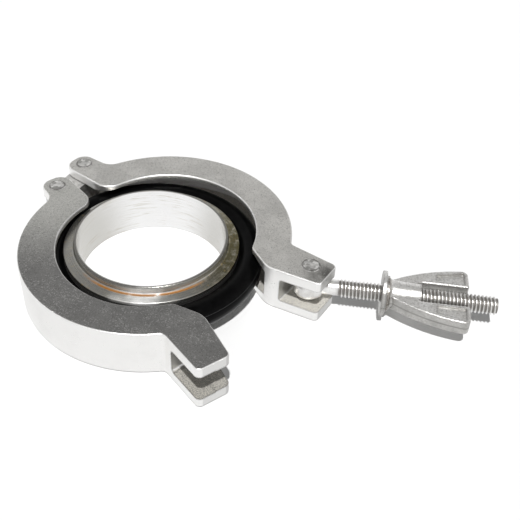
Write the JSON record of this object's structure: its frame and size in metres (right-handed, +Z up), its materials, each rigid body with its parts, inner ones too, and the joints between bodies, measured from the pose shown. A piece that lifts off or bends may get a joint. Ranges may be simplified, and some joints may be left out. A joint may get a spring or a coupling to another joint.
{
  "type": "flange clamp",
  "caption": "Hinged two-arm flange clamp with a swing bolt and wing nut, open round a centering ring and its seal.",
  "frame": {"origin": "on the centering ring's axis, in the plane of the ring's lower lip, which is also the clamp's underside", "axes": "+Z up along the ring's axis; +X towards the swing bolt; +Y towards the bolt arm's back"},
  "size_m": [0.1654, 0.1108, 0.0181],
  "materials": {
    "cast_aluminium": "satin blasted casting",
    "ring_steel": "turned, polished bore, light brown stains",
    "seal_rubber": "satin black",
    "pin_steel": "satin",
    "bolt_steel": "bright",
    "nut_zinc": "satin plated casting"
  },
  "bodies": {
    "fork_arm_body": {"fork_arm": "cast_aluminium", "fork_hinge_pin": "pin_steel", "centering_ring": "ring_steel", "o_ring": "seal_rubber"},
    "link_body": {"hinge_link": "pin_steel"},
    "bolt_arm_body": {"bolt_arm": "cast_aluminium", "bolt_hinge_pin": "pin_steel", "eye_bolt_pin": "pin_steel"},
    "bolt_body": {"eye_bolt": "bolt_steel"},
    "washer_body": {"washer": "nut_zinc"},
    "nut_body": {"wing_nut": "nut_zinc"}
  },
  "joints": [
    {"name": "link_swing", "type": "hinge", "parent": "fork_arm_body", "child": "link_body", "pos_m": [-0.03841, 0.02593, 0.0088], "axis": [0, 0, 1], "range_deg": [-10.4, 55]},
    {"name": "arm_swing", "type": "hinge", "parent": "link_body", "child": "bolt_arm_body", "pos_m": [-0.03105, 0.04081, 0.0088], "axis": [0, 0, 1], "range_deg": [0, 60]},
    {"name": "bolt_swing", "type": "hinge", "parent": "bolt_arm_body", "child": "bolt_body", "pos_m": [0.05593, -0.01263, 0.0088], "axis": [0, 0, 1], "range_deg": [-70, 25]},
    {"name": "washer_travel", "type": "slide", "parent": "bolt_body", "child": "washer_body", "axis": [0.9947, -0.1028, 0], "range_m": [-0.0134, 0.0262]},
    {"name": "nut_turn", "type": "hinge", "parent": "washer_body", "child": "nut_body", "pos_m": [0.05593, -0.01263, 0.0088], "axis": [0.9947, -0.1028, 0], "range_deg": [-3780, 7380]}
  ],
  "couplings": [
    {"joint": "washer_travel", "follows": "nut_turn", "m_per_rad": 0.00020213}
  ]
}
